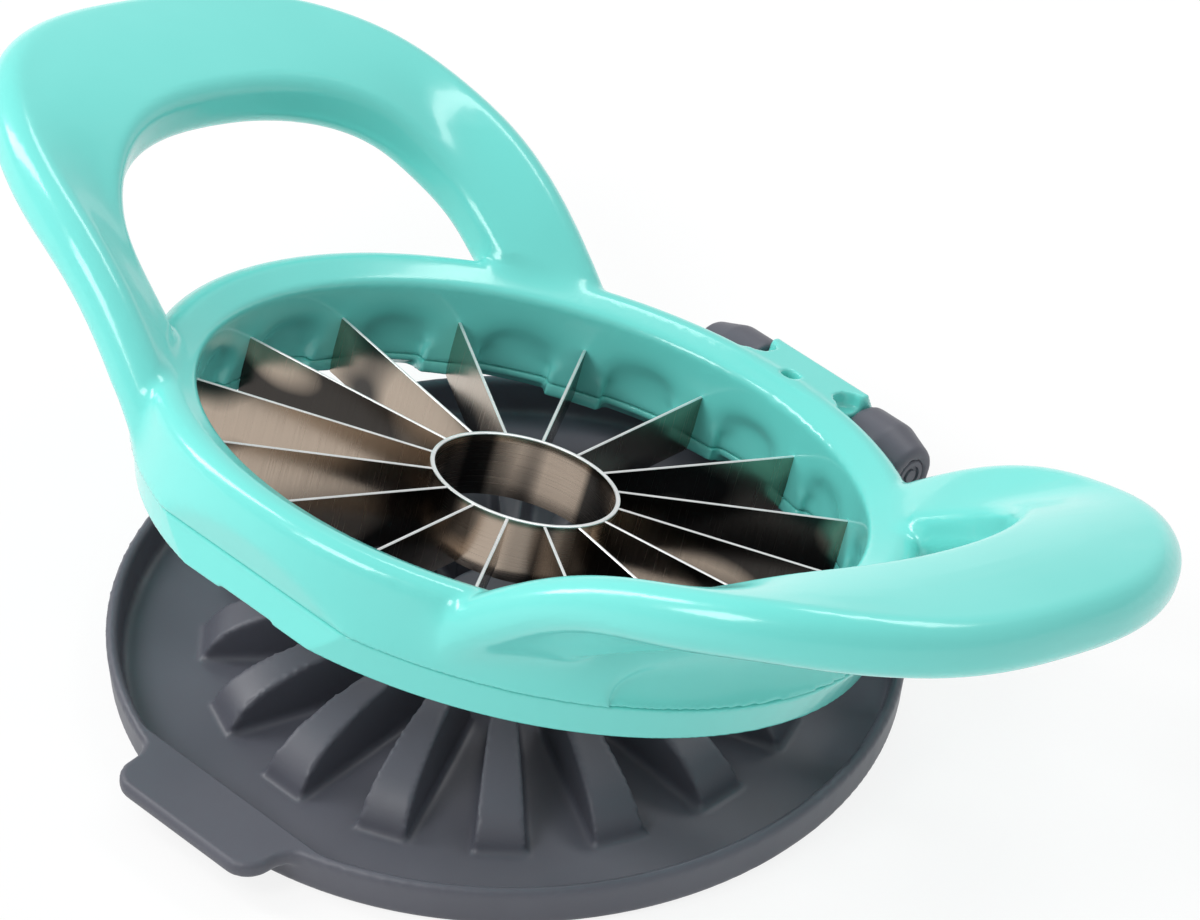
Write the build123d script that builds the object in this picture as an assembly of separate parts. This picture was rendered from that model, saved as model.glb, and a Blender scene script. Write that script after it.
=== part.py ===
from build123d import *
import math
import os

# Hinged sixteen-blade apple wedger. Millimetres, +Z up.
# The origin is the centre of the round base, on the surface that the base stands on.
# +Y points to the hinge, -Y to the lifting tab, +X and -X to the two loop handles.
# The cutting frame is drawn closed, flat over the base, and is then opened about the hinge pins.

# ---- Overall choices ----
BLADE_COUNT = 16
OPEN_ANGLE = 18.2            # how far the frame stands open, in degrees

# ---- Base tray ----
TRAY_RADIUS = 59.0           # outer edge of the rim
TRAY_HEIGHT = 7.0            # rim above the table
RIM_WIDTH = 1.8
RIM_ROUND = 0.6
TRAY_DRAFT = 0.6             # the wall leans in this much towards its foot
TRAY_UNDERCUT = 0.9          # the wall stops this far above the table
FLOOR_THICKNESS = 1.3

# ---- Lifting tab ----
TAB_REACH = 65.0             # front edge, from the centre
TAB_WIDTH = 29.6
TAB_ROOT_WIDTH = 38.0        # where the flares leave the rim
TAB_THICKNESS = 2.6
TAB_CORNER = 4.4
TAB_ROUND = 0.8
LEDGE_HALF_WIDTH = 17.5      # straight inner edge of the rim beside the tab
FRONT_CLEARANCE = 0.4        # between that edge and the closed frame

# ---- Pusher fins and hub ----
FIN_OUTER_RADIUS = 44.8
FIN_INNER_RADIUS = 16.5
FIN_TOP_ANGLE = 4.4          # half angle of the wedge at its ridge, in degrees
FIN_DRAFT = 0.45             # each side is this much wider at the floor
FIN_HEIGHT = 11.4            # ridge above the table at the inner end
FIN_SHOULDER_HEIGHT = 8.6    # ridge above the table at the shoulder
FIN_SHOULDER_RADIUS = 36.5
HUB_TOP_RADIUS = 10.6
HUB_DRAFT = 0.8
HUB_HEIGHT = 9.5

# ---- Cutting set ----
BLADE_THICKNESS = 0.5
BLADE_TOP = 12.4             # above the table, frame closed
BLADE_BOTTOM = 3.3
BLADE_END_RADIUS = 51.6      # outer end, inside its slot
BLADE_SLOT_CLEARANCE = 0.1
CORE_RADIUS = 14.2           # outside of the corer
CORE_WALL = 0.7
CORE_STAND = 0.15            # the corer stands above the blades by this much
CORE_DROP = 0.9              # and below them by this much

# ---- Frame ring ----
RING_INNER_RADIUS = 49.9     # face of the pillars
RING_OUTER_RADIUS = 57.7
RING_TOP = 20.2
RING_BOTTOM = 2.2
RING_FOOT_RADIUS = 55.5
STEP_HEIGHT = 7.8            # seam between the shell and the retainer
STEP_DEPTH = 0.5
CREST_RADIUS = 54.0          # from here the top slopes down to the inner lip
SHOULDER_ROUND = 2.6
LIP_DROP = 1.8               # the inner lip lies lower than the crest
LIP_ROUND = 1.4
POCKET_RADIUS = 51.6
POCKET_WIDTH = 11.2
POCKET_TOP = 12.3
POCKET_ARCH = 2.0
INNER_SEAM = 5.2             # underside of the shell inside the ring
POCKET_BOTTOM = 4.4          # the wall of each pocket ends here, in the retainer
RETAINER_SHELF_RADIUS = 53.0
PILLAR_BOTTOM = 3.3
FOOT_WIDTH = 0.9
SEAM_GAP = 0.02

# ---- Front relief of the ring, over the tab ----
RELIEF_TOP = 13.6
RELIEF_DEPTH_TOP = 0.3       # how deep the relief still is at its top

# ---- Recess under each handle ----
SCOOP_RADIUS = 7.0
SCOOP_DEPTH = 2.5
SCOOP_HEIGHT = 12.8
SCOOP_HALF_ANGLE = 32.5

# ---- Loop handles ----
HANDLE_REACH = 98.8
HANDLE_THICKNESS = 8.8
HANDLE_TIP_HEIGHT = 40.1     # middle of the band at the tip, frame closed
HANDLE_ROOT_HEIGHT = 12.0    # and where it starts, before its limbs lean
HANDLE_HALF_WIDTH = 49.7
HANDLE_NOSE = 31.8           # where the band starts on the ring wall
HANDLE_BEND_START = 41.0     # where the outline leaves its straight root
HANDLE_POWER = 2.56          # roundness of the outer outline
LIMB_LIFT = 4.4              # at the ring each limb leans: its outer edge is this much higher
LIMB_DROP = 4.4              # and its inner edge this much lower
LIMB_LEAN_START = 76.0       # the lean starts here and is full at the ring
LIMB_LEAN_LENGTH = 28.0
OPENING_REACH = 73.3
OPENING_HALF_WIDTH = 34.4
OPENING_MIDDLE = 49.0
OPENING_POWER = 2.2
HANDLE_ROUND = 3.8
OPENING_ROUND = 3.0
BAND_STEPS = 10              # sections along the band, and points across each half of one

# ---- Hinge ----
HINGE_Y = 63.0
HINGE_Z = 12.4
KNUCKLE_RADIUS = 6.3
KNUCKLE_END_TAPER = 1.8     # the knuckle narrows this much at its outer end
KNUCKLE_LENGTH = 11.2
LUG_HALF_WIDTH = 9.8
LUG_SIDE_CLEARANCE = 0.5
LUG_BACK = 63.6              # back edge of the flat top
LUG_BARREL_RADIUS = 5.2
LUG_TOP = 20.0
LUG_NOTCH_RADIUS = 2.8
LUG_HOLE_RADIUS = 1.5
LUG_HOLE_DEPTH = 3.0
LUG_HOLE_Y = 56.0
PIN_RADIUS = 1.75
PIN_DEPTH_IN_LUG = 7.0
PIN_RUNNING_CLEARANCE = 0.05
PIN_HEAD_RADIUS = 2.7
PIN_HEAD_LENGTH = 1.2
ARM_THICKNESS = 5.2

os.makedirs("parts", exist_ok=True)

HANDLE_RUN = HANDLE_REACH - HANDLE_NOSE
HANDLE_RISE = HANDLE_TIP_HEIGHT - HANDLE_ROOT_HEIGHT
HANDLE_ARC_RADIUS = (HANDLE_RUN ** 2 + HANDLE_RISE ** 2) / (2 * HANDLE_RISE)   # level at the tip

STEP_ANGLE = 360 / BLADE_COUNT
BLADE_PHASE = STEP_ANGLE / 2          # fins lie on the axes, blades between them
HINGE_AXIS = Axis((0, HINGE_Y, HINGE_Z), (1, 0, 0))


def opened(shape):
    """Turn a piece of the closed frame up about the hinge."""
    return shape.rotate(HINGE_AXIS, -OPEN_ANGLE)


def save(shape, name):
    shape.label = name
    export_step(shape, f"parts/{name}.step")


def revolved(points):
    """A solid of revolution about Z from (radius, height) points."""
    profile = Plane.XZ * make_face(Polyline(*points, close=True))
    return revolve(profile, Axis.Z)


def side_prism(points, half_length):
    """A prism along X from (y, z) points, centred on x = 0."""
    profile = Plane.YZ * make_face(Polyline(*points, close=True))
    return extrude(profile, half_length, both=True)


def superellipse(middle, reach, half_width, power, count=9):
    """Points of the outer half of a superellipse about (middle, 0), from -Y to +Y."""
    points = []
    for i in range(-count, count + 1):
        angle = math.radians(90 * i / count)
        x = middle + (reach - middle) * abs(math.cos(angle)) ** (2 / power)
        y = half_width * math.copysign(abs(math.sin(angle)) ** (2 / power), i)
        points.append((x, y))
    return points


# ======== Base tray ========

def make_tray_dish():
    foot_radius = TRAY_RADIUS - TRAY_DRAFT
    inner_radius = TRAY_RADIUS - RIM_WIDTH
    dish = revolved([
        (0, 0),
        (foot_radius - TRAY_UNDERCUT, 0),
        (foot_radius, TRAY_UNDERCUT),
        (TRAY_RADIUS, TRAY_HEIGHT),
        (inner_radius, TRAY_HEIGHT),
        (inner_radius - TRAY_DRAFT, FLOOR_THICKNESS),
        (0, FLOOR_THICKNESS),
    ])
    rim_edges = dish.edges().filter_by(GeomType.CIRCLE).group_by(Axis.Z)[-1]
    return fillet(rim_edges, RIM_ROUND)


def tray_ledge_y():
    """The straight inner edge of the rim that the tab hangs from."""
    return -math.sqrt((TRAY_RADIUS - RIM_WIDTH) ** 2 - LEDGE_HALF_WIDTH ** 2)


def make_tab():
    """Grip plate level with the rim: flared roots, rounded front corners."""
    half = TAB_WIDTH / 2
    half_root = TAB_ROOT_WIDTH / 2
    root_radius = TRAY_RADIUS - RIM_ROUND
    root = -math.sqrt(root_radius ** 2 - half_root ** 2)
    neck = -TAB_REACH + TAB_CORNER
    along_rim = Vector(-root, -half_root).normalized()
    flare = Spline((-half_root, root), (-half, neck), tangents=[along_rim, (0, -1)])
    corner = CenterArc((-half + TAB_CORNER, neck), TAB_CORNER, 180, 90)
    front = Line((-half + TAB_CORNER, -TAB_REACH), (0, -TAB_REACH))
    back = Polyline((0, -TAB_REACH), (0, root), (-half_root, root))
    outline = make_face(flare + corner + front + back)
    outline = outline + mirror(outline, about=Plane.YZ)
    tab = Pos(0, 0, TRAY_HEIGHT) * extrude(outline, -TAB_THICKNESS)
    rim = tab.edges().filter_by(Plane.XY).filter_by(lambda e: e.center().Y < root - TAB_ROUND)
    return fillet(rim, TAB_ROUND)


def make_ledge():
    """Fills the segment between the straight inner edge and the round wall."""
    chord_y = tray_ledge_y()
    block = Pos(0, chord_y - TRAY_RADIUS / 2, TRAY_HEIGHT / 2) * Box(
        2 * TRAY_RADIUS, TRAY_RADIUS, TRAY_HEIGHT)
    disc = revolved([
        (0, FLOOR_THICKNESS / 2),
        (TRAY_RADIUS - TRAY_DRAFT - RIM_WIDTH / 2, FLOOR_THICKNESS / 2),
        (TRAY_RADIUS - RIM_WIDTH / 2, TRAY_HEIGHT),
        (0, TRAY_HEIGHT),
    ])
    return block & disc


def fin_ridge():
    """The ridge in side view: level near the hub, falling steeply to the floor."""
    return Spline(
        (FIN_INNER_RADIUS, FIN_HEIGHT),
        (FIN_SHOULDER_RADIUS, FIN_SHOULDER_HEIGHT),
        (FIN_OUTER_RADIUS, FLOOR_THICKNESS),
        tangents=[(1, 0), (0.32, -1)],
    )


def make_fin():
    sunk = FLOOR_THICKNESS / 2
    inner = FIN_INNER_RADIUS
    outer = FIN_OUTER_RADIUS
    ridge = fin_ridge()
    floor_line = Polyline((outer, FLOOR_THICKNESS), (outer, sunk), (inner, sunk), (inner, FIN_HEIGHT))
    side = extrude(Plane.XZ * make_face(ridge + floor_line), outer, both=True)
    slope = math.tan(math.radians(FIN_TOP_ANGLE))
    draft = FIN_DRAFT / FIN_HEIGHT

    def section(height):
        grow = draft * (FIN_HEIGHT - height)
        near = inner * slope + grow
        far = outer * slope + grow
        return Plane.XY.offset(height) * make_face(Polyline(
            (inner, -near), (outer, -far), (outer, far), (inner, near), close=True))

    wedge = loft([section(sunk), section(FIN_HEIGHT)])
    return side & wedge


def make_hub():
    sunk = FLOOR_THICKNESS / 2
    hub = Pos(0, 0, sunk) * Cone(HUB_TOP_RADIUS + HUB_DRAFT, HUB_TOP_RADIUS, HUB_HEIGHT - sunk,
                                 align=(Align.CENTER, Align.CENTER, Align.MIN))
    top = hub.edges().filter_by(GeomType.CIRCLE).group_by(Axis.Z)[-1]
    return fillet(top, RIM_ROUND)


def knuckle_x():
    return LUG_HALF_WIDTH + LUG_SIDE_CLEARANCE


def make_knuckle(side):
    """One hinge knuckle with the arm that carries it, on the side +1 or -1."""
    start = knuckle_x()
    end = start + KNUCKLE_LENGTH
    straight = KNUCKLE_LENGTH * 0.55
    end_radius = KNUCKLE_RADIUS - KNUCKLE_END_TAPER
    barrel_profile = Plane.XY * make_face(Polyline(
        (start, 0), (start, KNUCKLE_RADIUS), (start + straight, KNUCKLE_RADIUS),
        (end, end_radius), (end, 0), close=True))
    barrel = revolve(barrel_profile, Axis.X)
    end_edges = barrel.edges().filter_by(GeomType.CIRCLE).group_by(Axis.X)
    barrel = fillet(end_edges[-1] + end_edges[0], RIM_ROUND)
    barrel = Pos(0, HINGE_Y, HINGE_Z) * barrel
    arm_back = HINGE_Y + ARM_THICKNESS / 2
    arm_front = TRAY_RADIUS - RIM_WIDTH
    arm = side_prism([
        (arm_front - RIM_WIDTH * 2, TRAY_UNDERCUT),
        (arm_back - RIM_WIDTH, TRAY_UNDERCUT),
        (arm_back, TRAY_UNDERCUT + RIM_WIDTH),
        (arm_back, HINGE_Z),
        (HINGE_Y - ARM_THICKNESS / 2, HINGE_Z),
        (HINGE_Y - ARM_THICKNESS / 2, TRAY_HEIGHT),
        (arm_front - RIM_WIDTH * 2, TRAY_HEIGHT),
    ], KNUCKLE_LENGTH / 2)
    arm = Pos(start + KNUCKLE_LENGTH / 2, 0, 0) * arm
    dish_inside = Cylinder(TRAY_RADIUS - RIM_WIDTH / 2, 4 * TRAY_HEIGHT)
    arm = arm - dish_inside
    knuckle = barrel + arm
    knuckle = knuckle - hinge_pin_solid(PIN_HEAD_LENGTH)
    if side < 0:
        knuckle = mirror(knuckle, about=Plane.YZ)
    return knuckle


def hinge_pin_solid(head_length):
    """Right-hand hinge pin: a head sunk in the knuckle's end and a shank into the lug."""
    outer = knuckle_x() + KNUCKLE_LENGTH
    inner = LUG_HALF_WIDTH - PIN_DEPTH_IN_LUG
    profile = Plane.XY * make_face(Polyline(
        (inner, 0), (inner, PIN_RADIUS), (outer - head_length, PIN_RADIUS),
        (outer - head_length, PIN_HEAD_RADIUS), (outer, PIN_HEAD_RADIUS), (outer, 0), close=True))
    return Pos(0, HINGE_Y, HINGE_Z) * revolve(profile, Axis.X)


def make_base_tray():
    tray = make_tray_dish() + make_ledge() + make_tab()
    for i in range(BLADE_COUNT):
        tray = tray + Rot(0, 0, i * STEP_ANGLE) * make_fin()
    tray = tray + make_hub()
    tray = tray + make_knuckle(1) + make_knuckle(-1)
    return tray


# ======== Cutting frame, drawn closed ========

def relief_cutter():
    """Leaning flat that clears the straight inner edge of the tray."""
    clear_y = tray_ledge_y() + FRONT_CLEARANCE
    top_y = -(RING_OUTER_RADIUS - RELIEF_DEPTH_TOP)
    far = -2 * RING_OUTER_RADIUS
    return side_prism([
        (clear_y, RING_BOTTOM - RING_TOP),
        (clear_y, TRAY_HEIGHT + FRONT_CLEARANCE),
        (top_y, RELIEF_TOP),
        (top_y - STEP_DEPTH, RELIEF_TOP + STEP_DEPTH),
        (far, RELIEF_TOP + STEP_DEPTH),
        (far, RING_BOTTOM - RING_TOP),
    ], RING_OUTER_RADIUS)


def pocket_cutter():
    """All the shallow pockets between the blade pillars, as one tool."""
    low = RING_BOTTOM - POCKET_WIDTH
    half = POCKET_WIDTH / 2
    spring = POCKET_TOP - POCKET_ARCH
    arch = ThreePointArc((-half, spring), (0, POCKET_TOP), (half, spring))
    sides = Polyline((half, spring), (half, low), (-half, low), (-half, spring))
    face = Plane.YZ * make_face(arch + sides)
    prism = extrude(face, 2 * RING_OUTER_RADIUS)
    prisms = [Rot(0, 0, i * STEP_ANGLE) * prism for i in range(BLADE_COUNT)]
    foot_inside = RING_FOOT_RADIUS - FOOT_WIDTH
    band = revolved([
        (RING_INNER_RADIUS - POCKET_ARCH, low),
        (foot_inside, low),
        (foot_inside, RING_BOTTOM),
        (POCKET_RADIUS, POCKET_BOTTOM),
        (POCKET_RADIUS, POCKET_TOP + POCKET_ARCH),
        (RING_INNER_RADIUS - POCKET_ARCH, POCKET_TOP + POCKET_ARCH),
    ])
    return band & (Part() + prisms)


def slot_cutter():
    """The slots in the pillars that take the ends of the blades, open below."""
    length = BLADE_END_RADIUS + BLADE_SLOT_CLEARANCE - RING_INNER_RADIUS + POCKET_ARCH
    height = BLADE_TOP + BLADE_SLOT_CLEARANCE
    width = BLADE_THICKNESS + 2 * BLADE_SLOT_CLEARANCE
    slot = Pos(RING_INNER_RADIUS - POCKET_ARCH, 0, 0) * Box(
        length, width, height, align=(Align.MIN, Align.CENTER, Align.MIN))
    slots = [Rot(0, 0, BLADE_PHASE + i * STEP_ANGLE) * slot for i in range(BLADE_COUNT)]
    return Part() + slots


def scoop_cutter():
    """Finger recess in the ring wall under the right handle, arched in front view."""
    middle = RING_OUTER_RADIUS - SCOOP_DEPTH + SCOOP_RADIUS
    circle = Plane.XZ * (Pos(middle, SCOOP_HEIGHT) * Circle(SCOOP_RADIUS))
    groove = revolve(circle, Axis.Z)
    half_width = RING_OUTER_RADIUS * math.sin(math.radians(SCOOP_HALF_ANGLE))
    arch = Plane.YZ * (Pos(0, SCOOP_HEIGHT - SCOOP_RADIUS / 2) * Ellipse(half_width, 1.5 * SCOOP_RADIUS))
    return groove & extrude(arch, middle)


def make_ring_shell():
    """Upper ring: rounded shoulder outside, crest, and a lip that slopes down inside."""
    profile = make_face(Polyline(
        (RING_INNER_RADIUS, INNER_SEAM),
        (RETAINER_SHELF_RADIUS, INNER_SEAM),
        (RETAINER_SHELF_RADIUS, STEP_HEIGHT),
        (RING_OUTER_RADIUS, STEP_HEIGHT),
        (RING_OUTER_RADIUS, RING_TOP),
        (CREST_RADIUS, RING_TOP),
        (RING_INNER_RADIUS, RING_TOP - LIP_DROP),
        close=True))
    profile = fillet(profile.vertices().sort_by(Axis.Y)[-2:].sort_by(Axis.X)[-1], SHOULDER_ROUND)
    top = profile.vertices().sort_by(Axis.Y)[-4:].sort_by(Axis.X)
    profile = fillet(top[:2], LIP_ROUND)
    return revolve(Plane.XZ * profile, Axis.Z)


def eased(share):
    """A share held between 0 and 1, with a soft start and end."""
    share = min(max(share, 0), 1)
    return share * share * (3 - 2 * share)


def band_lean(x, y):
    """Rise of the band's face over its side-view arc: a parabola across each limb, lifted at its
    outer edge and dropped at its inner one, fading out along the limbs and over the opening."""
    depth = eased((LIMB_LEAN_START - x) / LIMB_LEAN_LENGTH)
    if abs(y) < OPENING_HALF_WIDTH:
        return -depth * LIMB_DROP * eased(abs(y) / OPENING_HALF_WIDTH)
    inner = (OPENING_HALF_WIDTH / HANDLE_HALF_WIDTH) ** 2
    across = (y / HANDLE_HALF_WIDTH) ** 2
    return depth * ((LIMB_LIFT + LIMB_DROP) * (across - inner) / (1 - inner) - LIMB_DROP)


def band_face_line(x, radius, widths):
    """One face of the band where it crosses the plane at x, through the given y values."""
    height = HANDLE_TIP_HEIGHT - HANDLE_ARC_RADIUS
    height = height + math.sqrt(radius ** 2 - (x - HANDLE_REACH) ** 2)
    return Spline(*[(x, y, height + band_lean(x, y)) for y in widths])


def band_section(x):
    """The band's cross-section at x: top and underside lines joined by upright ends."""
    widths = [HANDLE_HALF_WIDTH * 1.15 * i / BAND_STEPS for i in range(-BAND_STEPS, BAND_STEPS + 1)]
    top = band_face_line(x, HANDLE_ARC_RADIUS + HANDLE_THICKNESS / 2, widths)
    under = band_face_line(x, HANDLE_ARC_RADIUS - HANDLE_THICKNESS / 2, widths)
    ends = [Line(top @ 1, under @ 1).edge(), Line(under @ 0, top @ 0).edge()]
    return Wire([top.edge(), ends[0], under.edge(), ends[1]])


def make_band():
    """The bent and dished band before its outline is cut."""
    start = HANDLE_NOSE - HANDLE_ROUND
    end = HANDLE_REACH + HANDLE_ROUND
    sections = [band_section(start + (end - start) * i / BAND_STEPS) for i in range(BAND_STEPS + 1)]
    return Part() + Solid.make_loft(sections)


def rounded_outline(points, root, height):
    """A tall prism whose plan runs from x = root along a smooth curve through the points."""
    half_width = points[-1][1]
    curve = Spline((root, -half_width), *points, (root, half_width), tangents=[(1, 0), (-1, 0)])
    return extrude(make_face(curve + Line(curve @ 1, curve @ 0)), height)


def rim_edges(loop, reach):
    """The upper and the lower edge of the outline that ends at the given reach."""
    return loop.edges().filter_by(
        lambda e: abs(e.bounding_box().max.X - reach) < HANDLE_ROUND / 4
        and e.bounding_box().size.Y > HANDLE_HALF_WIDTH)


def make_handle():
    """Right-hand loop: a flat band bent upwards, with its finger opening."""
    tall = HANDLE_TIP_HEIGHT + HANDLE_THICKNESS
    outer = superellipse(HANDLE_BEND_START, HANDLE_REACH, HANDLE_HALF_WIDTH, HANDLE_POWER)
    inner = superellipse(OPENING_MIDDLE, OPENING_REACH, OPENING_HALF_WIDTH, OPENING_POWER)
    loop = make_band() & rounded_outline(outer, HANDLE_NOSE, tall)
    loop = fillet(rim_edges(loop, HANDLE_REACH), HANDLE_ROUND)
    loop = loop - rounded_outline(inner, HANDLE_NOSE - HANDLE_ROUND, tall)
    loop = fillet(rim_edges(loop, OPENING_REACH), OPENING_ROUND)
    under_step = Pos(HANDLE_REACH, 0, 0) * Box(2 * HANDLE_REACH, 4 * HANDLE_HALF_WIDTH, 2 * STEP_HEIGHT)
    return loop - under_step


def make_lug():
    low = HINGE_Z - LUG_BARREL_RADIUS
    block = side_prism([
        (RING_INNER_RADIUS + 3, LUG_TOP),
        (LUG_BACK, LUG_TOP),
        (HINGE_Y + LUG_BARREL_RADIUS * 0.97, HINGE_Z + LUG_BARREL_RADIUS * 0.25),
        (HINGE_Y, HINGE_Z - LUG_BARREL_RADIUS * 0.6),
        (RING_INNER_RADIUS + 3, STEP_HEIGHT),
    ], LUG_HALF_WIDTH)
    barrel = Pos(0, HINGE_Y, HINGE_Z) * Rot(0, 90, 0) * Cylinder(LUG_BARREL_RADIUS, 2 * LUG_HALF_WIDTH)
    lug = block + barrel
    notch_y = (RING_OUTER_RADIUS + LUG_BACK) / 2 - LUG_NOTCH_RADIUS / 2
    notch_height = LUG_TOP - HINGE_Z - LUG_BARREL_RADIUS
    for side in (-1, 1):
        notch = Pos(side * LUG_HALF_WIDTH, notch_y, LUG_TOP) * Cylinder(LUG_NOTCH_RADIUS, 2 * notch_height)
        lug = lug - notch
    return lug


def make_frame_shell():
    handle = make_handle()
    bore = Cylinder(RING_OUTER_RADIUS - SHOULDER_ROUND, 4 * RING_TOP)
    handle = handle - bore
    shell = make_ring_shell() + make_lug()
    shell = shell + handle + mirror(handle, about=Plane.YZ)
    scoop = scoop_cutter()
    shell = shell - scoop - mirror(scoop, about=Plane.YZ)
    shell = shell - relief_cutter() - pocket_cutter() - slot_cutter()
    hole = Pos(0, LUG_HOLE_Y, LUG_TOP) * Cylinder(LUG_HOLE_RADIUS, 2 * LUG_HOLE_DEPTH)
    shell = shell - hole
    pin_room = PIN_RADIUS + PIN_RUNNING_CLEARANCE
    pin_end = LUG_HALF_WIDTH - PIN_DEPTH_IN_LUG - LUG_SIDE_CLEARANCE
    bore_length = LUG_HALF_WIDTH - pin_end
    for side in (-1, 1):
        middle = side * (pin_end + bore_length / 2)
        shell = shell - Pos(middle, HINGE_Y, HINGE_Z) * Rot(0, 90, 0) * Cylinder(pin_room, bore_length)
    return shell


def make_blade_retainer():
    """Lower ring that closes the blade slots from below."""
    band_top_radius = RING_OUTER_RADIUS - STEP_DEPTH
    ring = revolved([
        (RING_INNER_RADIUS, PILLAR_BOTTOM),
        (RING_FOOT_RADIUS - FOOT_WIDTH, RING_BOTTOM),
        (RING_FOOT_RADIUS, RING_BOTTOM),
        (band_top_radius, STEP_HEIGHT),
        (RETAINER_SHELF_RADIUS + SEAM_GAP, STEP_HEIGHT),
        (RETAINER_SHELF_RADIUS + SEAM_GAP, INNER_SEAM),
        (RING_INNER_RADIUS, INNER_SEAM),
    ])
    return ring - relief_cutter() - pocket_cutter()


def make_core_ring():
    bottom = BLADE_BOTTOM - CORE_DROP
    height = BLADE_TOP + CORE_STAND - bottom
    outside = Cylinder(CORE_RADIUS, height, align=(Align.CENTER, Align.CENTER, Align.MIN))
    inside = Cylinder(CORE_RADIUS - CORE_WALL, 3 * height)
    return Pos(0, 0, bottom) * (outside - inside)


def make_blade():
    """One blade along +X: its foot is cut back where the retainer passes under it."""
    notch_radius = RING_INNER_RADIUS - BLADE_SLOT_CLEARANCE
    profile = Plane.XZ * make_face(Polyline(
        (CORE_RADIUS, BLADE_BOTTOM),
        (notch_radius, BLADE_BOTTOM),
        (notch_radius, INNER_SEAM + BLADE_SLOT_CLEARANCE),
        (BLADE_END_RADIUS, INNER_SEAM + BLADE_SLOT_CLEARANCE),
        (BLADE_END_RADIUS, BLADE_TOP),
        (CORE_RADIUS, BLADE_TOP),
        close=True))
    return extrude(profile, BLADE_THICKNESS / 2, both=True)


# ======== Write every piece ========

save(make_base_tray(), "base_tray")
pin = hinge_pin_solid(PIN_HEAD_LENGTH)
save(pin, "hinge_pin_right")
save(mirror(pin, about=Plane.YZ), "hinge_pin_left")

save(opened(make_frame_shell()), "frame_shell")
save(opened(make_blade_retainer()), "blade_retainer")
save(opened(make_core_ring()), "core_ring")
for i in range(BLADE_COUNT):
    blade = Rot(0, 0, BLADE_PHASE + i * STEP_ANGLE) * make_blade()
    save(opened(blade), f"blade_{i + 1:02d}")
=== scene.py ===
import math

import bmesh
import bpy
import numpy as np
from mathutils import Matrix, Vector


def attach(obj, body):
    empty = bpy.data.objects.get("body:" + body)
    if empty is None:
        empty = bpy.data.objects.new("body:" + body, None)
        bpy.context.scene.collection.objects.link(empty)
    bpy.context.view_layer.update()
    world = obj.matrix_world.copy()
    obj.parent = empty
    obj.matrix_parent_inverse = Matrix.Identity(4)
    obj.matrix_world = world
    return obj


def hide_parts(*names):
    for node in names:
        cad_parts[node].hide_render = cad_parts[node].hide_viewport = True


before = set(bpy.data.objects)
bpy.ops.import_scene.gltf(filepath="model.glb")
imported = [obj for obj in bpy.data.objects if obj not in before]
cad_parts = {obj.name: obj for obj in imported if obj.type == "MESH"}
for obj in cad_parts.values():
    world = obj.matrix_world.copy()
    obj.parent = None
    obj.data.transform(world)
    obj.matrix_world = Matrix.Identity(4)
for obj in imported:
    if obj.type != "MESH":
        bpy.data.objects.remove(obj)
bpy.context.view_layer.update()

# Hinged sixteen-blade apple wedger. Metres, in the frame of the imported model. Shapes of the
# cutting frame are worked out closed, flat over the base, then opened about the hinge.

MM = 0.001
JOIN_DISTANCE = 0.001 * MM          # points nearer than this are one point
TINY = 1e-12                        # keeps a length of nothing from being divided by

OPEN_ANGLE = math.radians(18.2)
HINGE_Y = 63.0 * MM
HINGE_Z = 12.4 * MM

BLADE_COUNT = 16
BLADE_THICKNESS = 0.5 * MM
BLADE_TOP = 12.4 * MM
BLADE_BOTTOM = 3.3 * MM
BLADE_CROWN = 0.12 * MM             # bevel along the top
BLADE_ROOT_LAP = 0.1 * MM           # the inner end reaches this far into the corer's wall
BLADE_NOTCH_RADIUS = 49.8 * MM      # past it the foot steps up over the retainer
BLADE_NOTCH_STEP = 0.01 * MM
BLADE_NOTCH_TOP = 5.3 * MM
BLADE_END_RADIUS = 51.6 * MM
BLADE_GROUND_HEIGHT = 1.4 * MM      # the sharpened foot of each blade
BLADE_EDGE_THICKNESS = 0.1 * MM
BLADE_STATIONS = (14, 3)            # along the blade, before and after the notch
BLADE_PROFILE = 8                   # points round it
# The top and edge strips of a blade get the ground finish, whose near-white colour paints their
# highlight
BLADE_BRIGHT = (1, 2, 3, 6)         # its strips that are left bright: the top and the edge
BLADE_BRUSHING_SHIFT = 0.07         # so that no two blades carry the same brushing
BLADE_SHARP_ANGLE = 25

CORE_RADIUS = 14.2 * MM
CORE_WALL = 0.7 * MM
CORE_TOP = 12.55 * MM
CORE_BOTTOM = 2.4 * MM
CORE_ROUND = 0.18 * MM              # of the top of the wall
CORE_ROUND_SHARE = 0.3              # the corner point of that round lies this share of it in
CORE_GROUND_HEIGHT = 1.2 * MM       # the foot is ground on the outside over this height
CORE_EDGE_THICKNESS = 0.08 * MM
CORE_LEVELS = 8                     # points up each face of the wall
CORE_PROFILE = 2 * CORE_LEVELS + 5
CORE_BRIGHT = range(CORE_LEVELS - 1, CORE_LEVELS + 4)
CORE_STATIONS = 160
CORE_SHARP_ANGLE = 40

PIN_HEAD_X = 21.5 * MM
PIN_HEAD_RADIUS = 2.7 * MM
PIN_HEAD_LENGTH = 1.2 * MM
PIN_HEAD_ROUND = 0.25 * MM
PIN_GROOVE_RADII = (1.75 * MM, 1.6 * MM, 1.15 * MM, 1.0 * MM)   # on the head's face, from outside
PIN_GROOVE_DEPTH = 0.35 * MM
PIN_RADIUS = 1.75 * MM
PIN_INNER_X = 2.8 * MM
PIN_STATIONS = 48
PIN_SHARP_ANGLE = 35

SHELL_CELL = 0.5 * MM
SHELL_TRIANGLES = 190000
RETAINER_CELL = 0.4 * MM
RETAINER_TRIANGLES = 100000
TRAY_CELL = 0.5 * MM
TRAY_TRIANGLES = 190000

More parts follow.
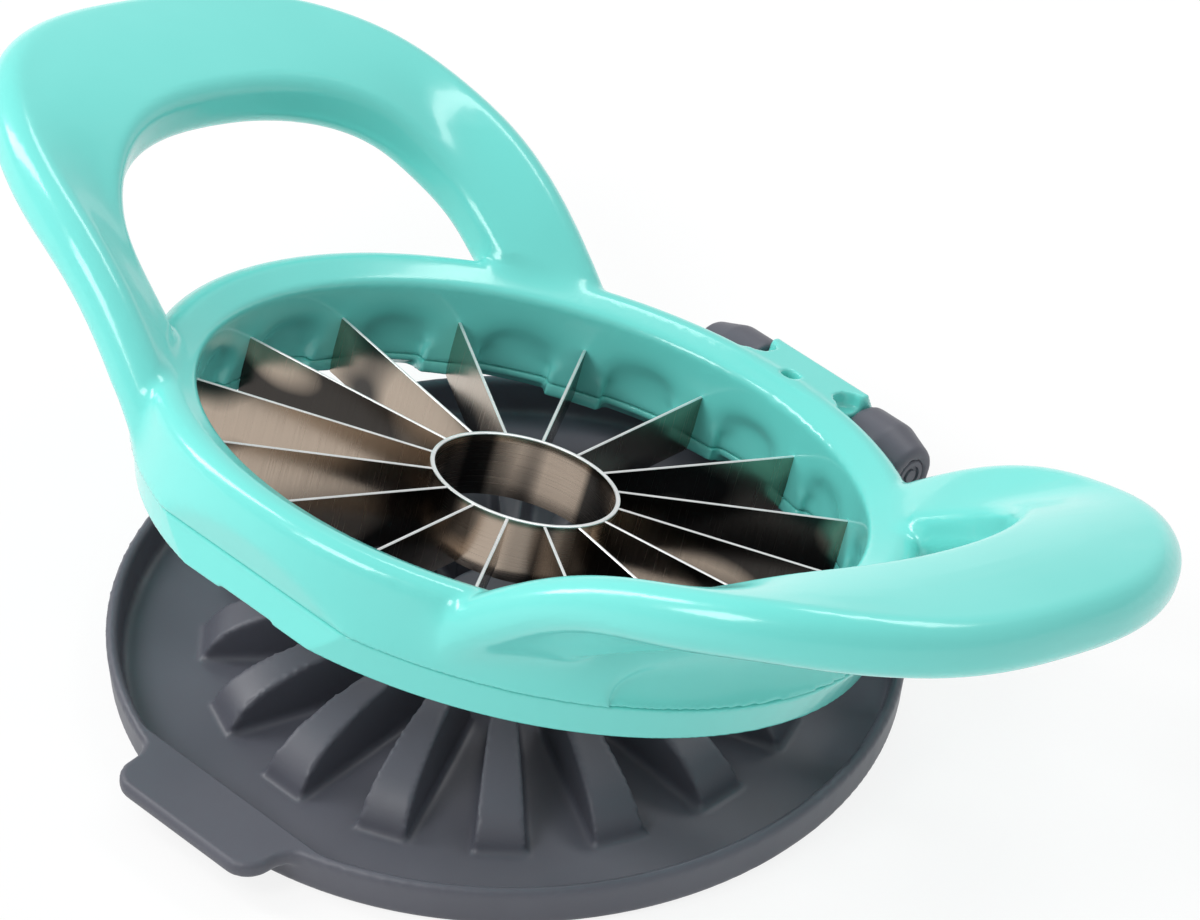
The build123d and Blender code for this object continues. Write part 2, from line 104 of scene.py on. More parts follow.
STEADY_IN = 0.50                    # share of the way towards the neighbours, and back again
STEADY_BACK = -0.53
GRID_ROUNDS = 8                     # rounds that take out the grid's own steps
FILL_PULL = 0.6
FILL_ROUNDS = 320
FILL_NORMALS_EVERY = 8
SOFTEN_PULL = 0.6
SOFTEN_ROUNDS = 60
PLAIN_ROUNDS = 40
NORMAL_ROUNDS = 4
CURVATURE_ROUNDS = 2
PLAIN_CURVATURE = 0.10              # per millimetre: flatter than this is smoothed fully
PLAIN_CURVATURE_END = 0.20          # more bent than this is left as it is

# Where the frame's hollows are softened and its corners filled: each pair is the place where
# a weight starts to rise, or has fallen to nothing, and the length of its fade. Millimetres,
# and degrees for the angles from the side and from the front.
ABOVE_STEP_LINE = (8.4, 1.6)
OUTER_WALL = (54.0, 2.0)
RECESS_WEIGHT = 0.8
RECESS_RADIUS = (62.0, 3.0)
RECESS_FROM_SIDE = (46.0, 6.0)
RECESS_HEIGHT = (19.0, 2.0)
HOLLOW_WEIGHT = 0.35
HOLLOW_FROM_FRONT = (42.0, 5.0)
HOLLOW_HEIGHT = (17.0, 2.0)
POCKET_WEIGHT = 0.75
POCKET_RADIUS = (53.6, 0.8)
POCKET_FOOT = (7.5, 2.0)
POCKET_HEAD = (16.0, 2.0)
LIMB_RADIUS = 59.0
LIMB_SPREAD = 5.0
LIMB_FOOT = (8.6, 1.4)
LIMB_FROM_SIDE = (10.0, 10.0)
LIMB_TO_FRONT = (72.0, 8.0)

TEAL = (0.175, 0.735, 0.675)
TEAL_DEEP = (0.158, 0.705, 0.645)
GREY = (0.080, 0.083, 0.104)
GREY_PALE = (0.095, 0.098, 0.122)
# Painted reflections in the steel's colour: a warm tan and a near-black that it mirrors
STEEL_PAINTED_WARM_REFLECTION = (0.47, 0.385, 0.31)
STEEL_PAINTED_DARK_REFLECTION = (0.055, 0.050, 0.046)
# Ground edges: a real ground finish, its near-white tone a painted highlight
STEEL_GROUND_HIGHLIGHT = (0.90, 0.90, 0.90)
STEEL_GROUND_HIGHLIGHT_DULL = (0.80, 0.80, 0.80)
PAPER = (0.90, 0.90, 0.90)
WHITE = (1, 1, 1)

# Noise: (cells per metre, detail), and the band of its values that is spread out
DRIFT_NOISE = (22, 3)
DRIFT_BAND = (0.35, 0.65)
PATCH_NOISE = (60, 2)
SCUFF_NOISE = (420, 2)
SCUFF_STRETCH = (1, 0.15, 0.4)
SCUFF_BAND = (0.55, 0.85)
SCUFF_ROUGHNESS = (0, 0.05)
GRAIN_DETAIL = 3
GRAIN_STRENGTH = 0.25
# Clouds of painted reflection in the steel's colour
REFLECTION_CLOUD_NOISE = (1, 1)
REFLECTION_CLOUD_BAND = (0.46, 0.54)
BRUSHING_NOISE = (1, 3)
BRUSHING_STRENGTH = 0.06
BRUSHING_DEPTH = 0.01 * MM
TINT_NOISE = (300, 2)
MARK_NOISE = (2500, 2)
MARK_ROUGHNESS = (0.32, 0.45)
MARK_STRENGTH = 0.08
MARK_DEPTH = 0.02 * MM
MIDDLE_BAND = (0.3, 0.7)
WHOLE = (0, 1)
GROUND_METALLIC = 0.7
COAT_ROUGHNESS = 0.07

FLOOR_HALF = 3.0
FLOOR_ROUGHNESS = 0.8
FLOOR_SPECULAR = 0.1
FLOOR_GLOW = 0.85                   # share of plain white that is seen and mirrored
SKY_STRENGTH = 0.58
LAMP_AIM = Vector((0, 0, 0.02))
LAMPS = {                           # place, size, watts
    "key_lamp": ((-0.80, -0.30, 0.72), (0.22, 0.80), 5.2),
    "fill_lamp": ((-0.15, -0.80, 0.95), (0.45, 0.45), 5.0),
    "back_lamp": ((-0.15, 0.80, 0.90), (0.80, 0.22), 3.0),
}

FRAME_WIDTH = 1200                  # pixels
FOCAL_PIXELS = 6672.7
SENSOR_WIDTH = 36.0                 # millimetres, as the lens is
CAMERA_AZIMUTH = math.radians(44.605)
CAMERA_ELEVATION = math.radians(38.890)
CAMERA_ROLL = math.radians(1.679)
CAMERA_DISTANCE = 1.00107
CAMERA_TARGET = Vector((-12.738, 31.312, 12.7)) * MM
CLIP_NEAR = 0.05
CLIP_FAR = 20.0


# ======== Shapes ========

def turned_about_hinge(points, angle):
    """With y and z counted from the hinge line: y' = y cos a + z sin a, z' = z cos a - y sin a."""
    y = points[..., 1] - HINGE_Y
    z = points[..., 2] - HINGE_Z
    turned = np.array(points, float)
    turned[..., 1] = HINGE_Y + y * math.cos(angle) + z * math.sin(angle)
    turned[..., 2] = HINGE_Z - y * math.sin(angle) + z * math.cos(angle)
    return turned


def opened(points):
    """Turns points of the closed frame by the open angle about the hinge line, front end up."""
    return turned_about_hinge(points, OPEN_ANGLE)


def closed(points):
    """The reverse of opened: where points of the standing frame lie when it is flat."""
    return turned_about_hinge(points, -OPEN_ANGLE)


def smooth_step(value):
    """3v^2 - 2v^3 on the value held between 0 and 1."""
    value = np.clip(value, 0, 1)
    return value * value * (3 - 2 * value)


def rising(value, start, length):
    """Smooth step from 0 at start to 1 at start + length."""
    return smooth_step((value - start) / length)


def falling(value, end, length):
    """Smooth step from 1 at end - length to 0 at end."""
    return smooth_step((end - value) / length)


def new_object(name, mesh):
    """An object at the origin, unturned and unscaled, that shows the mesh."""
    piece = bpy.data.objects.new(name, mesh)
    bpy.context.scene.collection.objects.link(piece)
    return piece


def clean_mesh(mesh, join=False, face_out=True):
    """Joins points that lie on one another and turns the faces outwards, as asked."""
    work = bmesh.new()
    work.from_mesh(mesh)
    if join:
        bmesh.ops.remove_doubles(work, verts=work.verts, dist=JOIN_DISTANCE)
    if face_out:
        bmesh.ops.recalc_face_normals(work, faces=work.faces)
    work.to_mesh(mesh)
    work.free()


def swept_mesh(name, grid, lengths=None, ring=False):
    """A skin over grid[i, j]: station i along the sweep, point j round the closed profile.
    Stations join up when ring is true, otherwise both ends are capped. lengths[i, j] is the
    pair (way along, way round) in metres that the brushing follows."""
    stations, around = grid.shape[:2]
    index = np.arange(stations * around).reshape(stations, around)
    if ring:
        index = np.vstack([index, index[:1]])
    here, there = index[:-1], index[1:]
    quads = np.stack([here, np.roll(here, -1, 1), np.roll(there, -1, 1), there], -1)
    faces = quads.reshape(-1, 4).tolist()
    if not ring:
        faces.append(index[0][::-1].tolist())
        faces.append(index[-1].tolist())
    mesh = bpy.data.meshes.new(name)
    mesh.from_pydata(grid.reshape(-1, 3).tolist(), [], faces)
    if lengths is not None:
        corners = np.zeros(len(mesh.loops), np.int32)
        mesh.loops.foreach_get("vertex_index", corners)
        layer = mesh.uv_layers.new(name="along")
        layer.data.foreach_set("uv", lengths.reshape(-1, 2)[corners].astype(np.float32).ravel())
    clean_mesh(mesh)
    return mesh


def smooth_with_edges(mesh, degrees):
    """Smooth shading, kept sharp where faces meet at more than the given angle."""
    mesh.shade_smooth()
    mesh.set_sharp_from_angle(angle=math.radians(degrees))


def blade_mesh(name, number):
    """Blade: an upright eight-sided profile carried from the corer out to the ring's slot.
    Across the blade the half thickness is t/2, less a bevel at the top, and narrows to the
    edge over the ground foot; past the notch radius the foot steps up over the retainer.
    The blade's direction is (number + 1/2) of the count's share of a full turn."""
    inner_stations, outer_stations = BLADE_STATIONS
    radii = np.concatenate([
        np.linspace(CORE_RADIUS - BLADE_ROOT_LAP, BLADE_NOTCH_RADIUS, inner_stations),
        np.linspace(BLADE_NOTCH_RADIUS + BLADE_NOTCH_STEP, BLADE_END_RADIUS, outer_stations)])
    foot = np.where(radii > BLADE_NOTCH_RADIUS, BLADE_NOTCH_TOP, BLADE_BOTTOM)
    half = BLADE_THICKNESS / 2
    edge = BLADE_EDGE_THICKNESS / 2
    crest = half - BLADE_CROWN
    sides = np.array([half, half, crest, -crest, -half, -half, -edge, edge])
    tops = np.array([0, 1, 1, 1, 1, 0, 0, 0])
    rises = np.array([BLADE_GROUND_HEIGHT, -BLADE_CROWN, 0, 0, -BLADE_CROWN, BLADE_GROUND_HEIGHT,
                      0, 0])
    heights = np.where(tops, BLADE_TOP, foot[:, None]) + rises
    r = np.broadcast_to(radii[:, None], heights.shape)
    s = np.broadcast_to(sides, heights.shape)
    turn = 2 * math.pi * (number + 0.5) / BLADE_COUNT
    x = r * math.cos(turn) - s * math.sin(turn)
    y = r * math.sin(turn) + s * math.cos(turn)
    lengths = np.stack([r + number * BLADE_BRUSHING_SHIFT, heights], -1)
    return swept_mesh(name, opened(np.stack([x, y, heights], -1)), lengths)


def corer_mesh(name):
    """Corer: the wall's profile, with a rounded top and a foot ground to an edge on the
    outside, turned about the upright axis: x = r cos t, y = r sin t."""
    outer, inner = CORE_RADIUS, CORE_RADIUS - CORE_WALL
    corner = CORE_ROUND * CORE_ROUND_SHARE
    levels = np.linspace(CORE_BOTTOM + CORE_GROUND_HEIGHT, CORE_TOP - CORE_ROUND, CORE_LEVELS)
    radius = np.array(
        [outer] * CORE_LEVELS + [outer - corner, outer - CORE_ROUND, inner + CORE_ROUND,
                                 inner + corner]
        + [inner] * CORE_LEVELS + [inner + CORE_EDGE_THICKNESS])
    height = np.concatenate([
        levels, [CORE_TOP - corner, CORE_TOP, CORE_TOP, CORE_TOP - corner],
        levels[::-1], [CORE_BOTTOM]])
    turn = np.linspace(0, 2 * math.pi, CORE_STATIONS, endpoint=False)[:, None]
    x, y = radius * np.cos(turn), radius * np.sin(turn)
    z = np.broadcast_to(height, x.shape)
    lengths = np.stack([np.broadcast_to(turn * CORE_RADIUS, x.shape), z], -1)
    return swept_mesh(name, opened(np.stack([x, y, z], -1)), lengths, ring=True)


def pin_mesh(name, side):
    """Hinge pin: the profile of shank, head and the groove in the head's face, turned about
    the hinge line: y = r cos t, z = r sin t from it. side is 1 on the right, -1 on the left."""
    head_in = PIN_HEAD_X - PIN_HEAD_LENGTH
    groove_in = PIN_HEAD_X - PIN_GROOVE_DEPTH
    along = np.array([PIN_INNER_X, PIN_INNER_X, head_in, head_in, PIN_HEAD_X - PIN_HEAD_ROUND,
                      PIN_HEAD_X, PIN_HEAD_X, groove_in, groove_in, PIN_HEAD_X, PIN_HEAD_X])
    radius = np.array([0, PIN_RADIUS, PIN_RADIUS, PIN_HEAD_RADIUS, PIN_HEAD_RADIUS,
                       PIN_HEAD_RADIUS - PIN_HEAD_ROUND, *PIN_GROOVE_RADII, 0])
    turn = np.linspace(0, 2 * math.pi, PIN_STATIONS, endpoint=False)[:, None]
    x = np.broadcast_to(side * along, (PIN_STATIONS, len(along)))
    y = HINGE_Y + radius * np.cos(turn)
    z = HINGE_Z + radius * np.sin(turn)
    mesh = swept_mesh(name, np.stack([x, y, z], -1), ring=True)
    clean_mesh(mesh, join=True)
    return mesh


# ======== Mouldings ========

def evaluated_mesh(piece):
    """The mesh that a piece's modifiers give."""
    graph = bpy.context.evaluated_depsgraph_get()
    return bpy.data.meshes.new_from_object(piece.evaluated_get(graph))


def mesh_points(mesh):
    """The mesh's points, one row each."""
    points = np.zeros(len(mesh.vertices) * 3)
    mesh.vertices.foreach_get("co", points)
    return points.reshape(-1, 3)


def set_mesh_points(mesh, points):
    """Puts the mesh's points where the rows say."""
    mesh.vertices.foreach_set("co", np.ascontiguousarray(points).ravel())
    mesh.update()


def point_numbers(items, width):
    """The point numbers of a mesh's edges or faces, width of them in each row."""
    numbers = np.zeros(len(items) * width, np.int64)
    items.foreach_get("vertices", numbers)
    return numbers.reshape(-1, width)


def edge_sums(edges, count, to_first=None, to_second=None):
    """At each point the sum over its edges: to_first[e] goes to the first point of edge e and
    to_second[e] to its second point. Left out, they count 1 for each edge."""
    return (np.bincount(edges[:, 0], to_first, count)
            + np.bincount(edges[:, 1], to_second, count))


def relaxed(points, edges, weight, rounds):
    """Each point moves towards the mean of its neighbours by its weight, round after round."""
    count = len(points)
    neighbours = edge_sums(edges, count)
    for _ in range(rounds):
        mean = np.stack([
            edge_sums(edges, count, column[edges[:, 1]], column[edges[:, 0]])
            for column in points.T], -1) / neighbours[:, None]
        points = points + weight[:, None] * (mean - points)
    return points


def point_normals(points, quads):
    """Outward direction at each point: the sum of its quads' crossed diagonals, to unit length."""
    a, b, c, d = (points[quads[:, k]] for k in range(4))
    across = np.cross(c - a, d - b)
    normals = np.stack([
        np.bincount(quads.ravel(), np.repeat(column, 4), len(points)) for column in across.T], -1)
    return normals / np.maximum(np.linalg.norm(normals, axis=1, keepdims=True), TINY)


def steadied(points, edges, weight, rounds):
    """Takes out ripples and keeps the size: a step towards the neighbours, then one back."""
    for _ in range(rounds):
        points = relaxed(points, edges, STEADY_IN * weight, 1)
        points = relaxed(points, edges, STEADY_BACK * weight, 1)
    return points


def filled(points, edges, quads, weight, rounds):
    """Rounds out inner corners only: each point may move outwards along its normal, towards
    the mean of its neighbours, and never inwards."""
    for _ in range(rounds // FILL_NORMALS_EVERY):
        normals = point_normals(points, quads)
        for _ in range(FILL_NORMALS_EVERY):
            pull = relaxed(points, edges, weight, 1) - points
            outward = np.maximum((pull * normals).sum(1), 0)
            points = points + outward[:, None] * normals
    return points


def plainness(points, edges, quads):
    """1 where the surface is flat or gently curved, 0 at edges and small rounds. The curvature
    is the turn of the normal per length of edge, its root mean square over the edges that
    meet at each point, doubled in the mean because a flat way and a bent way share it."""
    count = len(points)
    everywhere = np.ones(count)
    normals = relaxed(point_normals(points, quads), edges, everywhere, NORMAL_ROUNDS)
    first, second = edges[:, 0], edges[:, 1]
    turn = np.linalg.norm(normals[first] - normals[second], axis=1)
    length = np.linalg.norm(points[first] - points[second], axis=1)
    bend = (turn / length * MM) ** 2
    mean = edge_sums(edges, count, bend, bend) / edge_sums(edges, count)
    curvature = relaxed(np.sqrt(2 * mean)[:, None], edges, everywhere, CURVATURE_ROUNDS)[:, 0]
    return falling(curvature, PLAIN_CURVATURE_END, PLAIN_CURVATURE_END - PLAIN_CURVATURE)


def moulded_object(node, name, cell, triangles, on_frame, soften, fill):
    """A moulding from its plain solid: the faces joined, rebuilt on an even grid of the given
    cell, its corners eased, its inner corners filled, and then thinned where it is flat, with
    the shading of the full grid. The grid lies level with the closed frame for a piece on the
    frame. soften(points) and fill(points) give a weight per point for the deeper blends."""
    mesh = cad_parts[node].data.copy()
    clean_mesh(mesh, join=True, face_out=False)
    mesh.materials.clear()
    if on_frame:
        set_mesh_points(mesh, closed(mesh_points(mesh)))
    piece = new_object(name, mesh)
    grid = piece.modifiers.new("grid", "REMESH")
    grid.mode = "VOXEL"
    grid.voxel_size = cell
    mesh = evaluated_mesh(piece)
    piece.modifiers.clear()
    piece.data = mesh
    points = mesh_points(mesh)
    edges = point_numbers(mesh.edges, 2)
    quads = point_numbers(mesh.polygons, 4)
    points = steadied(points, edges, np.ones(len(points)), GRID_ROUNDS)
    points = filled(points, edges, quads, FILL_PULL * fill(points / MM), FILL_ROUNDS)
    points = relaxed(points, edges, SOFTEN_PULL * soften(points / MM), SOFTEN_ROUNDS)
    points = steadied(points, edges, plainness(points, edges, quads), PLAIN_ROUNDS)
    if on_frame:
        points = opened(points)
    set_mesh_points(mesh, points)
    mesh.shade_smooth()
    full = new_object(name + "_full", mesh)
    piece.data = mesh.copy()
    thin = piece.modifiers.new("thin", "DECIMATE")
    thin.ratio = min(1.0, triangles / (2 * len(mesh.polygons)))
    shading = piece.modifiers.new("shading", "DATA_TRANSFER")
    shading.object = full
    shading.use_loop_data = True
    shading.data_types_loops = {"CUSTOM_NORMAL"}
    shading.loop_mapping = "POLYINTERP_NEAREST"
    thinned = evaluated_mesh(piece)
    piece.modifiers.clear()
    piece.data = thinned
    thinned.name = name
    bpy.data.objects.remove(full)
    return piece


def ring_place(flat):
    """Of points on the closed frame: the radius sqrt(x^2 + y^2), and the angle in degrees from
    the sideways axis, 0 at the middle of a loop handle and 90 at the front and the back."""
    radius = np.hypot(flat[:, 0], flat[:, 1])
    from_side = np.degrees(np.arctan2(np.abs(flat[:, 1]), np.abs(flat[:, 0])))
    return radius, from_side


def frame_softness(flat):
    """Weights on the closed frame, in millimetres. The finger recesses, the hollow over the
    tab and the shallow pockets between the blades each fade in and out over a few
    millimetres, clear of the step line."""
    radius, from_side = ring_place(flat)
    height = flat[:, 2]
    from_front = np.degrees(np.arctan2(np.abs(flat[:, 0]), -flat[:, 1]))
    recess = (RECESS_WEIGHT * falling(radius, *RECESS_RADIUS)
              * falling(from_side, *RECESS_FROM_SIDE) * falling(height, *RECESS_HEIGHT))
    hollow = (HOLLOW_WEIGHT * falling(from_front, *HOLLOW_FROM_FRONT)
              * falling(height, *HOLLOW_HEIGHT))
    outer = (rising(radius, *OUTER_WALL) * rising(height, *ABOVE_STEP_LINE)
             * np.maximum(recess, hollow))
    pockets = (POCKET_WEIGHT * falling(radius, *POCKET_RADIUS) * rising(height, *POCKET_FOOT)
               * falling(height, *POCKET_HEAD))
    return np.maximum(outer, pockets)


def limb_blends(flat):
    """Weights on the closed frame, in millimetres: the inner corners where the limbs of the
    loops run into the ring, as a bell over the radius, e to the minus (offset / spread)^2."""
    radius, from_side = ring_place(flat)
    return (np.exp(-((radius - LIMB_RADIUS) / LIMB_SPREAD) ** 2)
            * rising(flat[:, 2], *LIMB_FOOT) * rising(from_side, *LIMB_FROM_SIDE)
            * falling(from_side, *LIMB_TO_FRONT))


def no_weight(points):
    """Nothing is softened or filled."""
    return np.zeros(len(points))


# ======== Finishes ========

def new_finish(name):
    """A material, its node tree and its main shader."""
    finish = bpy.data.materials.new(name)
    finish.use_nodes = True
    tree = finish.node_tree
    return finish, tree, tree.nodes["Principled BSDF"]


def speckle(tree, noise, source="Object", stretch=(1, 1, 1)):
    """Noise over the piece's own coordinates, its cells made finer each way by stretch."""
    where = tree.nodes.new("ShaderNodeTexCoord")
    place = tree.nodes.new("ShaderNodeMapping")
    place.inputs["Scale"].default_value = stretch
    cells = tree.nodes.new("ShaderNodeTexNoise")
    cells.inputs["Scale"].default_value, cells.inputs["Detail"].default_value = noise
    tree.links.new(where.outputs[source], place.inputs["Vector"])
    tree.links.new(place.outputs["Vector"], cells.inputs["Vector"])
    return cells.outputs["Fac"]


def spread(tree, value, band, result=WHOLE):
    """Carries a value from its band to the range of the result, and holds it inside."""
    ramp = tree.nodes.new("ShaderNodeMapRange")
    ramp.inputs["From Min"].default_value, ramp.inputs["From Max"].default_value = band
    ramp.inputs["To Min"].default_value, ramp.inputs["To Max"].default_value = result
    tree.links.new(value, ramp.inputs["Value"])
    return ramp.outputs["Result"]


def two_tone(tree, value, first, second):
    """Colour between two tones by a value."""
    mix = tree.nodes.new("ShaderNodeMix")
    mix.data_type = "RGBA"
    mix.inputs["A"].default_value = (*first, 1)
    mix.inputs["B"].default_value = (*second, 1)
    tree.links.new(value, mix.inputs["Factor"])
    return mix.outputs["Result"]


def added(tree, first, second):
    """The sum of two values."""
    total = tree.nodes.new("ShaderNodeMath")
    total.operation = "ADD"
    tree.links.new(first, total.inputs[0])
    tree.links.new(second, total.inputs[1])
    return total.outputs["Value"]


def relief(tree, height, strength, distance, shader):
    """Lets a height of 0 to 1 tilt the shading, as if the surface rose by the distance."""
    bump = tree.nodes.new("ShaderNodeBump")
    bump.inputs["Strength"].default_value = strength
    bump.inputs["Distance"].default_value = distance
    tree.links.new(height, bump.inputs["Height"])
    tree.links.new(bump.outputs["Normal"], shader.inputs["Normal"])


def moulded_plastic(name, tones, roughness, grain, grain_height, coat):
    """Moulded plastic: slow colour drift, patchy gloss with fine scuffs, and mould grain."""
    finish, tree, shader = new_finish(name)
    drift = spread(tree, speckle(tree, DRIFT_NOISE), DRIFT_BAND)
    tree.links.new(two_tone(tree, drift, *tones), shader.inputs["Base Color"])
    patches = spread(tree, speckle(tree, PATCH_NOISE), MIDDLE_BAND, roughness)
    scuffs = spread(tree, speckle(tree, SCUFF_NOISE, stretch=SCUFF_STRETCH), SCUFF_BAND,
                    SCUFF_ROUGHNESS)
    tree.links.new(added(tree, patches, scuffs), shader.inputs["Roughness"])
    relief(tree, speckle(tree, (grain, GRAIN_DETAIL)), GRAIN_STRENGTH, grain_height, shader)
    shader.inputs["Coat Weight"].default_value = coat
    shader.inputs["Coat Roughness"].default_value = COAT_ROUGHNESS
    return finish


def brushed_steel(name, roughness, reflection_clouds, streaks):
    """Rolled steel under fine brushing, with painted reflections: soft-edged warm and dark
    clouds in its colour stand in for the surroundings that the steel mirrors. reflection_clouds
    and streaks are their cells per metre along the brushed surface and across it."""
    finish, tree, shader = new_finish(name)
    shader.inputs["Metallic"].default_value = 1.0
    # Painted reflection: warm tan and near-black clouds put into the steel's base colour
    painted_reflection = spread(tree, speckle(tree, REFLECTION_CLOUD_NOISE, "UV", (*reflection_clouds, 1)), REFLECTION_CLOUD_BAND)
    tree.links.new(two_tone(tree, painted_reflection, STEEL_PAINTED_WARM_REFLECTION, STEEL_PAINTED_DARK_REFLECTION), shader.inputs["Base Color"])
    lines = speckle(tree, BRUSHING_NOISE, "UV", (*streaks, 1))
    tree.links.new(spread(tree, lines, MIDDLE_BAND, roughness), shader.inputs["Roughness"])
    relief(tree, lines, BRUSHING_STRENGTH, BRUSHING_DEPTH, shader)
    return finish


def ground_steel_painted_highlight(name):
    """The cut edges of the blades and of the corer: a ground finish whose near-white colour,
    partly diffuse, paints their highlight.
    """
    finish, tree, shader = new_finish(name)
    shader.inputs["Metallic"].default_value = GROUND_METALLIC
    # Painted highlight: a near-white colour, seen through the share that is not metallic
    tint = spread(tree, speckle(tree, TINT_NOISE), MIDDLE_BAND)
    tree.links.new(two_tone(tree, tint, STEEL_GROUND_HIGHLIGHT, STEEL_GROUND_HIGHLIGHT_DULL),
                   shader.inputs["Base Color"])
    marks = speckle(tree, MARK_NOISE)
    tree.links.new(spread(tree, marks, MIDDLE_BAND, MARK_ROUGHNESS), shader.inputs["Roughness"])
    relief(tree, marks, MARK_STRENGTH, MARK_DEPTH, shader)
    return finish


teal_gloss = moulded_plastic("teal_gloss", (TEAL, TEAL_DEEP), roughness=(0.18, 0.24),
                             grain=1500, grain_height=0.01 * MM, coat=0.3)
grey_satin = moulded_plastic("grey_satin", (GREY, GREY_PALE), roughness=(0.40, 0.50),
                             grain=1800, grain_height=0.05 * MM, coat=0)
blade_steel = brushed_steel("blade_steel", roughness=(0.20, 0.28), reflection_clouds=(30, 55),
                            streaks=(5200, 60))
corer_steel = brushed_steel("corer_steel", roughness=(0.20, 0.30), reflection_clouds=(90, 10),
                            streaks=(40, 5200))
edge_steel_painted_highlight = ground_steel_painted_highlight("edge_steel_painted_highlight")


# ======== Pieces ========

def finish_piece(piece, material, body, node):
    """Gives the piece its finish, and the body and the CAD node that it stands for."""
    piece.data.materials.clear()
    piece.data.materials.append(material)
    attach(piece, body)
    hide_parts(node)


def brighten_edges(mesh, around, segments):
    """Gives the ground finish, with its painted highlight, to the faces that run along the given
    segments of the profile, which has as many segments as points around. End caps come last
    and stay as they are."""
    mesh.materials.append(edge_steel_painted_highlight)
    index = np.arange(len(mesh.polygons))
    bright = np.isin(index % around, segments) & (index < len(index) // around * around)
    mesh.polygons.foreach_set("material_index", bright.astype(np.int32))
    mesh.update()


shell = moulded_object("frame_shell", "moulded_frame", SHELL_CELL, SHELL_TRIANGLES, True,
                       frame_softness, limb_blends)
finish_piece(shell, teal_gloss, "cutting_frame", "frame_shell")
retainer = moulded_object("blade_retainer", "moulded_retainer", RETAINER_CELL,
                          RETAINER_TRIANGLES, True, no_weight, no_weight)
finish_piece(retainer, teal_gloss, "cutting_frame", "blade_retainer")
tray = moulded_object("base_tray", "moulded_tray", TRAY_CELL, TRAY_TRIANGLES, False,
                      no_weight, no_weight)
finish_piece(tray, grey_satin, "base", "base_tray")

for number in range(BLADE_COUNT):
    label = f"{number + 1:02d}"
    blade = blade_mesh("steel_blade_" + label, number)
    smooth_with_edges(blade, BLADE_SHARP_ANGLE)
    finish_piece(new_object("steel_blade_" + label, blade), blade_steel,
                 "cutting_frame", "blade_" + label)
    brighten_edges(blade, BLADE_PROFILE, BLADE_BRIGHT)

corer = corer_mesh("steel_corer")
smooth_with_edges(corer, CORE_SHARP_ANGLE)
finish_piece(new_object("steel_corer", corer), corer_steel, "cutting_frame",
             "core_ring")
brighten_edges(corer, CORE_PROFILE, CORE_BRIGHT)

for side, word in ((1, "right"), (-1, "left")):
    pin = pin_mesh("pin_" + word, side)
    smooth_with_edges(pin, PIN_SHARP_ANGLE)
    finish_piece(new_object("pin_" + word, pin), grey_satin, "base",
                 "hinge_pin_" + word)


# ======== Floor, light and camera ========

def flat_floor():
    """A pale floor that takes shadows, with a share of plain white in what the camera, a
    mirroring surface or a clear one sees of it."""
    half = FLOOR_HALF
    mesh = bpy.data.meshes.new("floor")
    mesh.from_pydata([(-half, -half, 0), (half, -half, 0), (half, half, 0), (-half, half, 0)],
                     [], [(0, 1, 2, 3)])
    floor = new_object("floor", mesh)
    paper, tree, shader = new_finish("white_floor")
    shader.inputs["Base Color"].default_value = (*PAPER, 1)
    shader.inputs["Roughness"].default_value = FLOOR_ROUGHNESS
    shader.inputs["Specular IOR Level"].default_value = FLOOR_SPECULAR
    glow = tree.nodes.new("ShaderNodeEmission")
    glow.inputs["Color"].default_value = (*WHITE, 1)
    mix = tree.nodes.new("ShaderNodeMixShader")
    rays = tree.nodes.new("ShaderNodeLightPath")
    seen = added(tree, rays.outputs["Is Camera Ray"], rays.outputs["Is Glossy Ray"])
    seen = added(tree, seen, rays.outputs["Is Transmission Ray"])
    share = tree.nodes.new("ShaderNodeMath")
    share.operation = "MULTIPLY"
    share.inputs[1].default_value = FLOOR_GLOW
    tree.links.new(seen, share.inputs[0])
    tree.links.new(share.outputs["Value"], mix.inputs["Fac"])
    tree.links.new(shader.outputs["BSDF"], mix.inputs[1])
    tree.links.new(glow.outputs["Emission"], mix.inputs[2])
    tree.links.new(mix.outputs["Shader"], tree.nodes["Material Output"].inputs["Surface"])
    mesh.materials.append(paper)


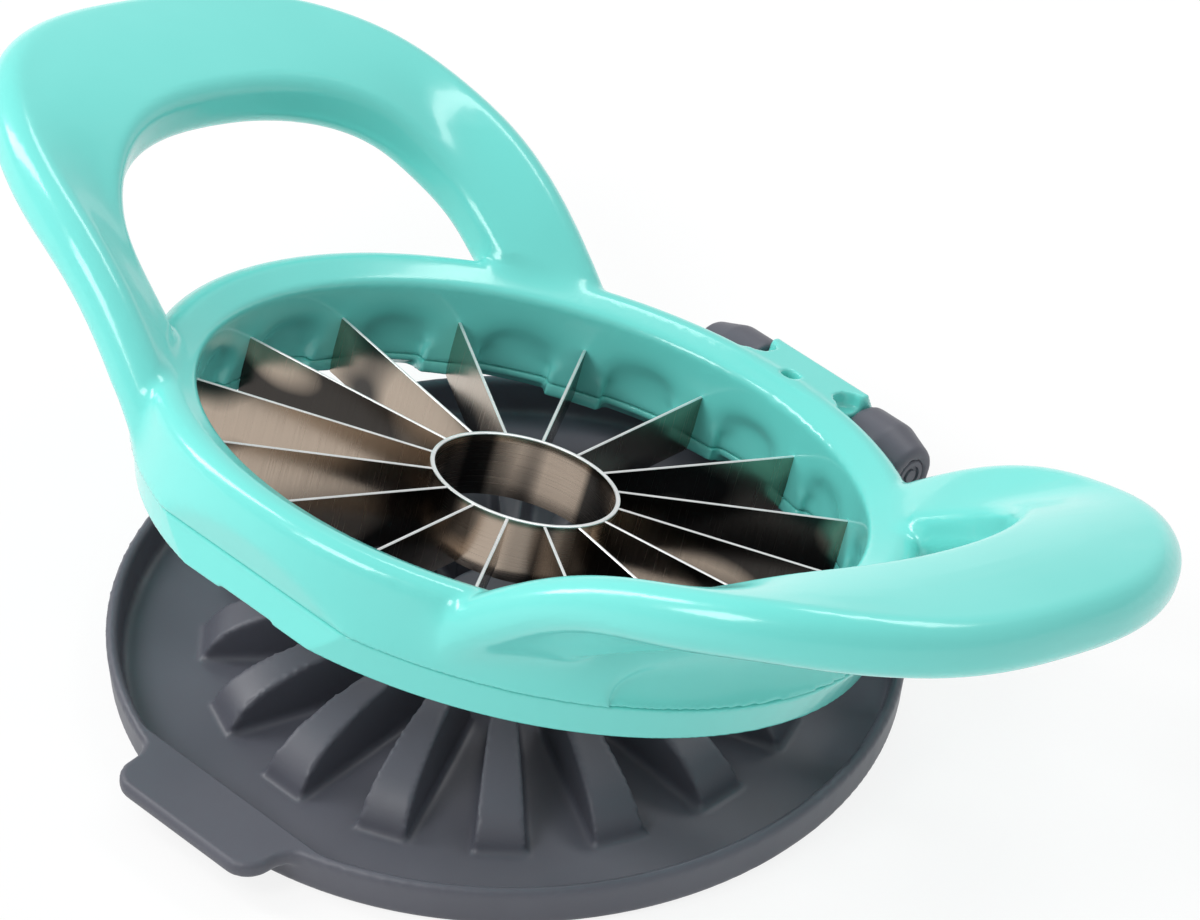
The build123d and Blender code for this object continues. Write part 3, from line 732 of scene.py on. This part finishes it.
def studio_world():
    """Plain light all round."""
    world = bpy.data.worlds.new("studio")
    world.use_nodes = True
    sky = world.node_tree.nodes["Background"]
    sky.inputs["Color"].default_value = (*WHITE, 1)
    sky.inputs["Strength"].default_value = SKY_STRENGTH
    bpy.context.scene.world = world


def soft_lamp(name, place, size, power):
    """A rectangular lamp at its place, turned towards the common aim."""
    lamp = bpy.data.lights.new(name, "AREA")
    lamp.shape = "RECTANGLE"
    lamp.size, lamp.size_y = size
    lamp.energy = power
    holder = bpy.data.objects.new(name, lamp)
    holder.location = place
    holder.rotation_euler = (LAMP_AIM - Vector(place)).to_track_quat("-Z", "Y").to_euler()
    bpy.context.scene.collection.objects.link(holder)


def set_camera():
    """Looks at the target from the given azimuth and elevation, level before it is rolled:
    back = (sin a cos e, -cos a cos e, sin e), right = (cos a, sin a, 0), up = back x right."""
    back = Vector((math.sin(CAMERA_AZIMUTH) * math.cos(CAMERA_ELEVATION),
                   -math.cos(CAMERA_AZIMUTH) * math.cos(CAMERA_ELEVATION),
                   math.sin(CAMERA_ELEVATION)))
    level_right = Vector((math.cos(CAMERA_AZIMUTH), math.sin(CAMERA_AZIMUTH), 0))
    level_up = back.cross(level_right)
    right = math.cos(CAMERA_ROLL) * level_right + math.sin(CAMERA_ROLL) * level_up
    up = math.cos(CAMERA_ROLL) * level_up - math.sin(CAMERA_ROLL) * level_right
    lens = bpy.data.cameras.new("camera")
    lens.sensor_width = SENSOR_WIDTH
    lens.lens = FOCAL_PIXELS * SENSOR_WIDTH / FRAME_WIDTH
    lens.clip_start = CLIP_NEAR
    lens.clip_end = CLIP_FAR
    camera = bpy.data.objects.new("camera", lens)
    pose = Matrix((right, up, back)).transposed().to_4x4()
    pose.translation = CAMERA_TARGET + back * CAMERA_DISTANCE
    camera.matrix_world = pose
    bpy.context.scene.collection.objects.link(camera)
    bpy.context.scene.camera = camera


flat_floor()
studio_world()
for lamp_name, (lamp_place, lamp_size, watts) in LAMPS.items():
    soft_lamp(lamp_name, lamp_place, lamp_size, watts)
set_camera()
bpy.context.scene.view_settings.view_transform = "Standard"
